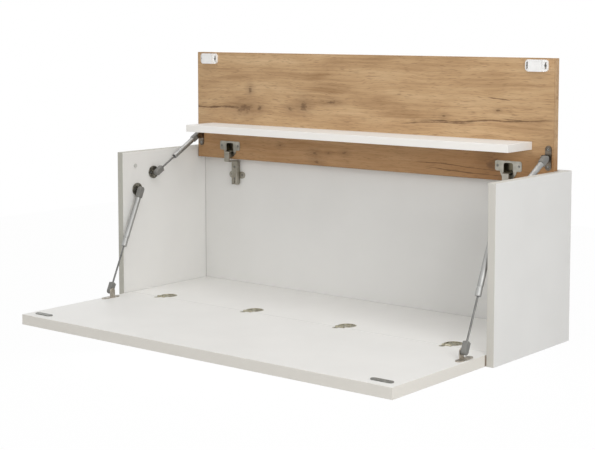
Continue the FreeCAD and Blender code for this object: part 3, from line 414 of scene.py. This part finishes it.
def oak_decor(colours):
    """Printed oak decor, embossed and satin: wavy grain along the board, clouds, pores, knots and cracks."""
    material, tree, shader, place = new_finish("oak_decor", {"Specular IOR Level": 0.35})

    def streaks(vector, long_mm, wide_mm, detail):
        """Noise drawn out along the grain."""
        scale = (cycles(long_mm), cycles(wide_mm), cycles(wide_mm))
        drawn = add(tree, "Mapping", {"Vector": vector}, {"Scale": scale})
        made = add(tree, "TexNoise", {"Vector": drawn.outputs["Vector"]},
                   {"Scale": 1.0, "Detail": detail, "Roughness": 0.6})
        return made.outputs["Fac"]

    # each pattern's length along the grain and width across it in millimetres, and its detail
    wave = streaks(place, 240, 90, 2.0)
    lift = add(tree, "Math", {0: wave}, {1: 30 * MM, 2: -15 * MM}, operation="MULTIPLY_ADD")
    shift = add(tree, "CombineXYZ", {"Z": lift.outputs["Value"]})
    moved = add(tree, "VectorMath", {0: place, 1: shift.outputs["Vector"]}, operation="ADD")
    bent = moved.outputs["Vector"]
    clouds = streaks(bent, 190, 40, 2.0)
    figure = streaks(bent, 240, 6, 4.0)
    fibre = streaks(bent, 60, 1.9, 3.0)
    pores = streaks(bent, 19, 1.3, 1.0)
    fray = streaks(bent, 16, 5, 4.0)

    grain = add(tree, "Mix", {2: clouds, 3: figure}, {0: 0.42}).outputs[0]
    body = add(tree, "ValToRGB", {"Fac": grain},
               stops=((0.32, colours.oak_dark), (0.5, colours.oak), (0.67, colours.oak_light)))
    # the lower plank is browner in its own tone, and darker to the right as painted shade under the shelf
    parts = add(tree, "SeparateXYZ", {"Vector": place}).outputs
    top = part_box("lid_shelf")[1].z
    below = add(tree, "MapRange", {"Value": parts["Z"]},
                {"From Min": top - 40 * MM, "From Max": top, "To Min": 1.0, "To Max": 0.0})
    right = add(tree, "MapRange", {"Value": parts["X"]},
                {"From Min": 120 * MM, "From Max": 300 * MM, "To Min": 0.45, "To Max": 0.66})
    plank = add(tree, "Math", {0: below.outputs["Result"], 1: right.outputs["Result"]},
                operation="MULTIPLY")
    knots = oak_knots(tree, bent, fray)
    split = None
    for crack in OAK_CRACKS_MM:
        one = oak_crack(tree, bent, fray, *crack)
        split = one if split is None else add(
            tree, "Math", {0: split, 1: one}, operation="MAXIMUM").outputs["Value"]
    glue = board_edge("lid", 0.6, 1.6)(tree, place)
    whole = (0.0, 1.0)
    stains = (
        # shade, pattern, range of the pattern, share of the shade at both ends of that range
        (colours.oak_dark, fibre, (0.32, 0.68), (0.34, 0.0)),
        (colours.oak_plank_and_shade, plank.outputs["Value"], whole, whole),
        (colours.oak_pore, pores, (0.58, 0.72), (0.0, 0.5)),
        (colours.oak_knot, knots, whole, whole),
        (colours.oak_knot, split, whole, (0.0, 0.8)),
        (colours.oak_pore, glue, whole, (0.0, 0.5)),
    )
    tone = body.outputs["Color"]
    for shade, pattern, span, shares in stains:
        limits = {"From Min": span[0], "From Max": span[1], "To Min": shares[0], "To Max": shares[1]}
        share = add(tree, "MapRange", {"Value": pattern}, limits)
        stained = add(tree, "Mix", {0: share.outputs["Result"], 6: tone}, {7: shade}, data_type="RGBA")
        tone = stained.outputs[2]
    gloss = add(tree, "MapRange", {"Value": fibre}, {"To Min": 0.42, "To Max": 0.62})
    relief = add(tree, "Bump", {"Height": pores}, {"Strength": 0.35, "Distance": 0.08 * MM}, invert=True)
    tree.links.new(tone, shader.inputs["Base Color"])
    tree.links.new(gloss.outputs["Result"], shader.inputs["Roughness"])
    tree.links.new(relief.outputs["Normal"], shader.inputs["Normal"])
    return material


def beech_dowel(colours):
    """Plain turned beech: short flecks along the dowel."""
    return mottled("beech", colours.beech, darker(colours.beech, 0.8), patch_mm=6, grain_mm=1.2,
                   rough=(0.5, 0.65), relief_mm=0.05, stretch=(1, 0.15, 1))


# Metals and plastics

def nickel_steel(colours):
    """Nickel-plated pressed steel: pale warm grey, satin, with soft darker patches where it was drawn.

    Behind the lid's face, inside the hinge cups, it is darkened as painted shade in the hollow."""
    skin = 0.5 * MM
    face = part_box("lid")[0].y + skin
    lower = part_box("lid")[0].z

    def inside(tree, place):
        """1 behind the lid's face and above its lower edge."""
        parts = add(tree, "SeparateXYZ", {"Vector": place})
        deep = add(tree, "Math", {0: parts.outputs["Y"]}, {1: face}, operation="GREATER_THAN")
        high = add(tree, "Math", {0: parts.outputs["Z"]}, {1: lower}, operation="GREATER_THAN")
        both = add(tree, "Math", {0: deep.outputs["Value"], 1: high.outputs["Value"]}, operation="MULTIPLY")
        return both.outputs["Value"]

    # the hinge cups' insides take a painted shade
    return mottled("nickel_plated_steel", colours.nickel, colours.nickel_shade, patch_mm=14, grain_mm=1.1,
                   rough=(0.25, 0.4), relief_mm=0.02, metallic=1.0, layers=[(inside, colours.cup_painted_shade)])


def passivated_hinge(colours):
    """Passivated zinc casting: olive, half matt, with a blotchy cast."""
    return mottled("olive_passivated_zinc", colours.passivate, colours.passivate_shade, patch_mm=5,
                   grain_mm=1.0, rough=(0.3, 0.45), relief_mm=0.02, metallic=0.9)


def zinc_screw(colours):
    """Zinc-plated steel: bright and slightly patchy, with painted shade in the recess and round the rim of
    the head.
    """
    def recess(tree, place):
        """The painted shade of the recess and the rim that the screws' own mesh carries."""
        return add(tree, "Attribute", attribute_name="recess").outputs["Fac"]

    return mottled("zinc_plated_steel", colours.zinc, darker(colours.zinc, 0.7), patch_mm=3, grain_mm=0.5,
                   rough=(0.25, 0.4), relief_mm=0.01, metallic=1.0, layers=[(recess, colours.screw_painted_shade)])


def die_casting(colours):
    """Zinc die casting: grey, grainy, half matt."""
    return mottled("zinc_die_casting", colours.die_cast, darker(colours.die_cast, 0.75), patch_mm=5,
                   grain_mm=0.8, rough=(0.4, 0.55), relief_mm=0.03, metallic=1.0)


def moulded_plastic(name, shade):
    """Moulded polyamide: satin with a fine eroded grain."""
    return mottled(name, shade, darker(shade, 0.94), patch_mm=11, grain_mm=0.9, rough=(0.36, 0.5),
                   relief_mm=0.02)


def ferrite(colours):
    """Sintered ferrite: dark grey, dry and grainy."""
    return mottled("ferrite", colours.ferrite, darker(colours.ferrite, 0.6), patch_mm=4, grain_mm=0.6,
                   rough=(0.55, 0.75), relief_mm=0.04)


def strike_steel(colours):
    """Grey coated steel: even and half matt, with worn flecks."""
    return mottled("coated_strike_steel", colours.strike, darker(colours.strike, 0.6), patch_mm=7,
                   grain_mm=0.9, rough=(0.35, 0.5), relief_mm=0.02, metallic=0.6)


def bracket_steel(name, shade):
    """Passivated pressed steel: a metal sheen with a yellowish cast and darker patches."""
    return mottled(name, shade, darker(shade, 0.55), patch_mm=7, grain_mm=1.0, rough=(0.25, 0.42),
                   relief_mm=0.02, metallic=1.0)


def black_steel(colours):
    """Black-chromed steel: patches from black to grey as painted reflections, glossy enough to catch the
    lamps.
    """
    return mottled("black_chromed_steel", colours.black_steel, darker(colours.black_steel, 0.2), patch_mm=5,
                   grain_mm=0.9, rough=(0.2, 0.34), relief_mm=0.02, metallic=0.7)


def strut_tube(colours):
    """Silver coated steel tube: even metal flake with a soft shine."""
    return mottled("silver_coated_tube", colours.tube, darker(colours.tube, 0.85), patch_mm=16,
                   grain_mm=0.7, rough=(0.46, 0.58), relief_mm=0.008, metallic=1.0)


def strut_rod(colours):
    """Ground and nitrided rod: grey, half glossy, with a fine grain."""
    return mottled("nitrided_rod", colours.rod, darker(colours.rod, 0.75), patch_mm=10, grain_mm=0.6,
                   rough=(0.36, 0.46), relief_mm=0.006, metallic=0.8)


def grey_plastic(colours):
    """Moulded grey acetal: satin with a fine eroded grain."""
    return mottled("grey_acetal", colours.grey_plastic, darker(colours.grey_plastic, 0.86), patch_mm=9,
                   grain_mm=0.8, rough=(0.38, 0.52), relief_mm=0.03)


def black_plastic(colours):
    """Moulded black acetal: dark and half matt."""
    return mottled("black_acetal", colours.black_plastic, darker(colours.black_plastic, 0.7), patch_mm=6,
                   grain_mm=0.8, rough=(0.4, 0.55), relief_mm=0.03)


# Shapes of the screws

def screw_places(points, reach):
    """Heads, inward directions, head radius, point radius and length of a group of screws.

    The points of one screw lie within reach of each other. Its axis is the long side of its box, its
    head lies where its points stand furthest from that axis, and its point is at the other end."""
    heads = []
    directions = []
    free = np.ones(len(points), bool)
    while free.any():
        own = free & (np.linalg.norm(points - points[free][0], axis=1) < reach)
        free &= ~own
        mine = points[own]
        low = mine.min(axis=0)
        high = mine.max(axis=0)
        axis = int(np.argmax(high - low))
        middle = (low + high) / 2
        off_axis = np.linalg.norm(np.delete(mine - middle, axis, axis=1), axis=1)
        head_at = mine[off_axis > 0.99 * off_axis.max(), axis].mean()
        inward = np.zeros(3)
        inward[axis] = np.sign(middle[axis] - head_at)
        head = middle.copy()
        head[axis] = head_at
        heads.append(head)
        directions.append(inward)
        tip_at = low[axis] + high[axis] - head_at
        tip_radius = off_axis[np.abs(mine[:, axis] - tip_at) < reach / 100].max()
    return np.array(heads), np.array(directions), off_axis.max(), tip_radius, (high - low)[axis]


def screw_grid(details, head_radius, shank_radius, screw_length, columns=48):
    """One screw on a grid of rings: head face with a cross recess, cone, thread and point, along +Z.

    On the head face the depth is the recess depth, less towards the arms' ends, times a soft step of the
    distance to a cross of two bars. On the thread the radius falls from the crest by half a cosine of the
    angle less the turns made so far. The first and last ring shrink to points. The fourth value of a point
    is its painted shade, 1 in the recess and at the rim of the head."""
    turn = np.linspace(0, 2 * np.pi, columns, endpoint=False)
    face = np.linspace(0, 1, FACE_RINGS)[:, None] * head_radius
    across = np.abs(face * np.cos(turn))
    up = np.abs(face * np.sin(turn))
    half = details.recess_width / 2
    reach = details.recess_reach
    one_bar = np.maximum(across - reach, up - half)
    other_bar = np.maximum(across - half, up - reach)
    inside = np.clip(0.5 - np.minimum(one_bar, other_bar) / RECESS_SOFTNESS, 0, 1)
    soft = inside ** 2 * (3 - 2 * inside)
    face_depth = details.recess_depth * (1 - RECESS_SLOPE * face / reach).clip(0) * soft
    head_height = head_radius - shank_radius
    thread_end = screw_length - 2 * shank_radius
    rise = np.linspace(head_height, thread_end, THREAD_RINGS)[:, None]
    phase = 2 * np.pi * rise / details.thread_pitch - turn
    thread = shank_radius - details.thread_depth * (0.5 - 0.5 * np.cos(phase))
    point_share = np.linspace(0, 1, POINT_RINGS)[1:, None]
    point = np.repeat((shank_radius - details.thread_depth) * (1 - point_share), columns, axis=1)
    point_depth = thread_end + point_share * (screw_length - thread_end)
    radius = np.vstack([np.repeat(face, columns, axis=1), thread, point])
    depth = np.vstack([face_depth, np.repeat(rise, columns, axis=1),
                       np.repeat(point_depth, columns, axis=1)])
    # painted shade at the rim of the head and in the recess
    rim = np.clip((face / head_radius - RIM_START) / (1 - RIM_START), 0, 1)
    shade = np.zeros(radius.shape)
    shade[:len(face)] = np.maximum(soft, rim)
    return np.stack([radius * np.cos(turn), radius * np.sin(turn), depth, shade], axis=-1)


def ring_faces(rings, columns):
    """Faces of a closed grid of rings whose first and last ring are single points."""
    column = np.arange(columns)
    following = (column + 1) % columns
    start = 1 + np.arange(rings - 3)[:, None] * columns
    below = start + columns
    corners = [start + column, below + column, below + following, start + following]
    quads = np.stack(corners, axis=-1).reshape(-1, 4)
    first = np.stack([np.zeros(columns, int), 1 + column, 1 + following], axis=-1)
    last_ring = 1 + (rings - 3) * columns
    apex = last_ring + columns
    last = np.stack([last_ring + following, last_ring + column, np.full(columns, apex)], axis=-1)
    return first, quads, last


def screw_group(details, node):
    """Points, faces and shades of a node's screws, each turned a golden angle from the one before."""
    own = np.empty(len(NODES[node].data.vertices) * 3)
    NODES[node].data.vertices.foreach_get("co", own)
    heads, inward, head_radius, tip_radius, screw_length = screw_places(own.reshape(-1, 3), SCREW_REACH)
    grid = screw_grid(details, head_radius, tip_radius, screw_length)
    rings, columns = grid.shape[:2]
    one = np.vstack([grid[0, :1], grid[1:-1].reshape(-1, 4), grid[-1, :1]])
    side = np.roll(inward, 1, axis=1)
    other = np.cross(inward, side)
    golden = np.arange(len(heads))[:, None] * GOLDEN_ANGLE
    first = np.cos(golden) * side + np.sin(golden) * other
    second = np.cos(golden) * other - np.sin(golden) * side
    axes = np.stack([first, second, inward], axis=1)
    points = heads[:, None] + one[:, :3] @ axes
    offset = (np.arange(len(heads)) * len(one))[:, None, None]
    faces = []
    for part in ring_faces(rings, columns):
        faces += (part + offset).reshape(-1, part.shape[1]).tolist()
    return points.reshape(-1, 3), faces, np.tile(one[:, 3], len(heads))


# Operators

class DESK_OT_white_boards(bpy.types.Operator):
    """Finish the case, the flap and the shelf as white melamine boards"""

    bl_idname = "desk.white_boards"
    bl_label = "White boards"

    def execute(self, context):
        colours = context.scene.desk_finishes
        boards = (
            # board, edge band, strength of the glue line with its painted joint shade
            # the left edge band is darker as painted shade
            ("left_side_panel", colours.left_band_shaded, 0),
            ("right_side_panel", colours.right_band, 0),
            ("back_panel", colours.white, 0.6),
            ("bottom_panel", colours.white, 0.4),
            ("flap", colours.white_band, 0),
            ("lid_shelf", colours.shelf_band, 0),
        )
        for board, band, glue_and_shade_share in boards:
            dress(melamine_board(colours, board, band, glue_and_shade_share), board)
        return {"FINISHED"}


class DESK_OT_oak_lid(bpy.types.Operator):
    """Finish the lid as an oak decor board"""

    bl_idname = "desk.oak_lid"
    bl_label = "Oak lid"

    def execute(self, context):
        dress(oak_decor(context.scene.desk_finishes), "lid")
        return {"FINISHED"}


class DESK_OT_hinges(bpy.types.Operator):
    """Finish the concealed lid hinges and the flush flap hinges"""

    bl_idname = "desk.hinges"
    bl_label = "Hinges"

    def execute(self, context):
        lid_hinges = [f"{side}_lid_hinge_{piece}" for side in SIDES for piece in ("cup", "arm", "plate")]
        colours = context.scene.desk_finishes
        dress(nickel_steel(colours), *lid_hinges, "lid_hinge_pins")
        dress(passivated_hinge(colours), "flap_hinge_cups", "flap_hinge_leaves", "flap_hinge_pins")
        return {"FINISHED"}


class DESK_OT_gas_struts(bpy.types.Operator):
    """Finish the four gas struts and what carries them"""

    bl_idname = "desk.gas_struts"
    bl_label = "Gas struts"

    def execute(self, context):
        colours = context.scene.desk_finishes
        dress(strut_tube(colours), *[f"{strut}_tube" for strut in STRUTS])
        dress(strut_rod(colours), *[f"{strut}_rod" for strut in STRUTS])
        sockets = [f"{strut}_{end}_socket" for strut in STRUTS for end in ("tube", "rod")]
        inner = [f"{strut}_{piece}" for strut in STRUTS for piece in ("guide", "piston")]
        dress(grey_plastic(colours), *sockets)
        dress(black_plastic(colours), *inner)
        dress(black_steel(colours), *[f"{strut}_side_bracket" for strut in STRUTS])
        flap_steel = bracket_steel("yellow_passivated_steel", colours.bracket)
        # a darker copy of the same steel, as painted shade under the shelf
        lid_steel_shaded = bracket_steel("shaded_passivated_steel", colours.lid_bracket_shaded)
        dress(flap_steel, "left_flap_strut_foot", "right_flap_strut_foot")
        dress(lid_steel_shaded, "left_lid_strut_foot", "right_lid_strut_foot")
        return {"FINISHED"}


class DESK_OT_catches(bpy.types.Operator):
    """Finish the magnetic catches and their strikes"""

    bl_idname = "desk.catches"
    bl_label = "Catches"

    def execute(self, context):
        colours = context.scene.desk_finishes
        housing = moulded_plastic("white_polyamide", colours.white_plastic)
        dress(housing, "left_catch_housing", "right_catch_housing")
        dress(ferrite(colours), "catch_magnets")
        dress(strike_steel(colours), "flap_strikes")
        return {"FINISHED"}


class DESK_OT_case_joints(bpy.types.Operator):
    """Finish the cam locks, their bolts, the cover caps and the dowels of the shelf"""

    bl_idname = "desk.case_joints"
    bl_label = "Case joints"

    def execute(self, context):
        colours = context.scene.desk_finishes
        dress(die_casting(colours), "cam_locks", "cam_bolts")
        dress(moulded_plastic("grey_white_polyamide", colours.cap_plastic), "cover_caps")
        dress(beech_dowel(colours), "shelf_dowels")
        return {"FINISHED"}


class DESK_OT_screws(bpy.types.Operator):
    """Put in the countersunk screws with their cross recesses and threads"""

    bl_idname = "desk.screws"
    bl_label = "Screws"

    def execute(self, context):
        material = zinc_screw(context.scene.desk_finishes)
        for body in ("case", "lid", "flap"):
            node = f"{body}_screws"
            shape = screw_group(context.scene.desk_details, node)
            new_piece(f"{body}_cross_screws", *shape, body, "screw_steel", material, node)
        return {"FINISHED"}


class DESK_OT_studio(bpy.types.Operator):
    """Set up the floor, the light and the camera"""

    bl_idname = "desk.studio"
    bl_label = "Studio"

    def execute(self, context):
        scene = context.scene
        scene.view_settings.view_transform = "Standard"
        lay_floor(scene)
        light_studio(scene)
        set_camera(scene)
        return {"FINISHED"}


# Studio

def seen_rays(tree):
    """1 for rays that show the background: to the camera, in a reflection or through glass."""
    path = add(tree, "LightPath")
    direct = add(tree, "Math", {0: path.outputs["Is Camera Ray"], 1: path.outputs["Is Glossy Ray"]},
                 operation="MAXIMUM")
    through = add(tree, "Math", {0: direct.outputs["Value"], 1: path.outputs["Is Transmission Ray"]},
                  operation="MAXIMUM")
    return through.outputs["Value"]


def lay_floor(scene):
    """A pale floor that shows nearly white, takes the desk's shadow and is clear from below."""
    studio = scene.desk_studio
    material = bpy.data.materials.new("pale_floor")
    material.use_nodes = True
    tree = material.node_tree
    tree.nodes.clear()
    matt = add(tree, "BsdfDiffuse", values={"Color": studio.floor_colour})
    glow = add(tree, "Emission", values={"Color": (1, 1, 1, 1), "Strength": 1.0})
    share = add(tree, "Math", {0: seen_rays(tree)}, {1: FLOOR_GLOW}, operation="MULTIPLY")
    mixed = add(tree, "MixShader",
                {0: share.outputs["Value"], 1: matt.outputs["BSDF"], 2: glow.outputs["Emission"]})
    clear = add(tree, "BsdfTransparent")
    under = add(tree, "NewGeometry").outputs["Backfacing"]
    sided = add(tree, "MixShader", {0: under, 1: mixed.outputs["Shader"], 2: clear.outputs["BSDF"]})
    add(tree, "OutputMaterial", {"Surface": sided.outputs["Shader"]})
    half = 6.0
    corners = [(-half, -half), (half, -half), (half, half), (-half, half)]
    mesh = bpy.data.meshes.new("floor")
    mesh.from_pydata([(x, y, -studio.floor_drop) for x, y in corners], [], [(0, 1, 2, 3)])
    mesh.materials.append(material)
    floor = bpy.data.objects.new("floor", mesh)
    scene.collection.objects.link(floor)


def aim(thing, place, target):
    """Put a lamp or camera in place, with its view towards a target."""
    thing.location = place
    thing.rotation_euler = (Vector(target) - Vector(place)).to_track_quat("-Z", "Y").to_euler()


def light_studio(scene):
    """Even light from a white room, and large soft lamps on the right, overhead, in front and behind."""
    studio = scene.desk_studio
    world = bpy.data.worlds.new("white_room")
    scene.world = world
    world.use_nodes = True
    tree = world.node_tree
    tree.nodes.clear()
    shown = add(tree, "Background", values={"Color": (1, 1, 1, 1), "Strength": 1.0})
    light = add(tree, "Background", values={"Color": (1, 1, 1, 1), "Strength": studio.ambient})
    mixed = add(tree, "MixShader",
                {0: seen_rays(tree), 1: light.outputs["Background"], 2: shown.outputs["Background"]})
    add(tree, "OutputWorld", {"Surface": mixed.outputs["Shader"]})
    lamps = (
        # name, power, size, place, target
        ("key_lamp", studio.key, 1.2, (2.0, -1.3, 0.9), (0, -0.2, 0.2)),
        ("overhead_lamp", studio.overhead, 1.8, (0.1, -0.5, 2.2), (0.1, -0.4, 0.0)),
        ("front_lamp", studio.front, 1.6, (-0.9, -2.6, 0.9), (0, -0.2, 0.2)),
        ("rear_lamp", studio.rear, 1.8, (-1.9, 2.0, 0.25), (0, 0, 0.2)),
    )
    for name, watts, size, place, target in lamps:
        data = bpy.data.lights.new(name, "AREA")
        data.shape = "SQUARE"
        data.size = size
        data.energy = watts
        lamp = bpy.data.objects.new(name, data)
        # the lamps in front and behind would glare in the lid and the flap
        lamp.visible_glossy = name not in ("front_lamp", "rear_lamp")
        scene.collection.objects.link(lamp)
        aim(lamp, place, target)


def set_camera(scene):
    """A camera at the photograph's viewing angle, with no depth of field."""
    studio = scene.desk_studio
    data = bpy.data.cameras.new("camera")
    data.sensor_width = 36
    data.lens = studio.camera_lens
    data.shift_y = studio.camera_shift
    data.dof.use_dof = False
    camera = bpy.data.objects.new("camera", data)
    camera.location = studio.camera_place
    camera.rotation_euler = (math.pi / 2 - studio.camera_tilt, 0, studio.camera_turn)
    scene.collection.objects.link(camera)
    scene.camera = camera


OPERATORS = (
    DESK_OT_white_boards,
    DESK_OT_oak_lid,
    DESK_OT_hinges,
    DESK_OT_gas_struts,
    DESK_OT_catches,
    DESK_OT_case_joints,
    DESK_OT_screws,
    DESK_OT_studio,
)


class DESK_PT_sidebar(bpy.types.Panel):
    """The desk's pieces and studio"""

    bl_idname = "DESK_PT_sidebar"
    bl_label = "Wall desk"
    bl_space_type = "VIEW_3D"
    bl_region_type = "UI"
    bl_category = "Wall desk"

    def draw(self, context):
        for operator in OPERATORS:
            self.layout.operator(operator.bl_idname)
        for group in (context.scene.desk_finishes, context.scene.desk_details, context.scene.desk_studio):
            for name in group.__annotations__:
                self.layout.prop(group, name)


GROUPS = {"desk_finishes": DeskFinishes, "desk_details": DeskDetails, "desk_studio": DeskStudio}
CLASSES = (*GROUPS.values(), *OPERATORS, DESK_PT_sidebar)


def register():
    """Register the classes and hang their settings on the scene."""
    for each in CLASSES:
        bpy.utils.register_class(each)
    for name, group in GROUPS.items():
        setattr(bpy.types.Scene, name, bpy.props.PointerProperty(type=group))


def unregister():
    """Take the settings off the scene again, and the classes with them."""
    for name in GROUPS:
        delattr(bpy.types.Scene, name)
    for each in reversed(CLASSES):
        bpy.utils.unregister_class(each)


def main():
    """Register the add-on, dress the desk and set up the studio."""
    register()
    for operator in OPERATORS:
        group, action = operator.bl_idname.split(".")
        getattr(getattr(bpy.ops, group), action)()


if __name__ == "__main__":
    main()
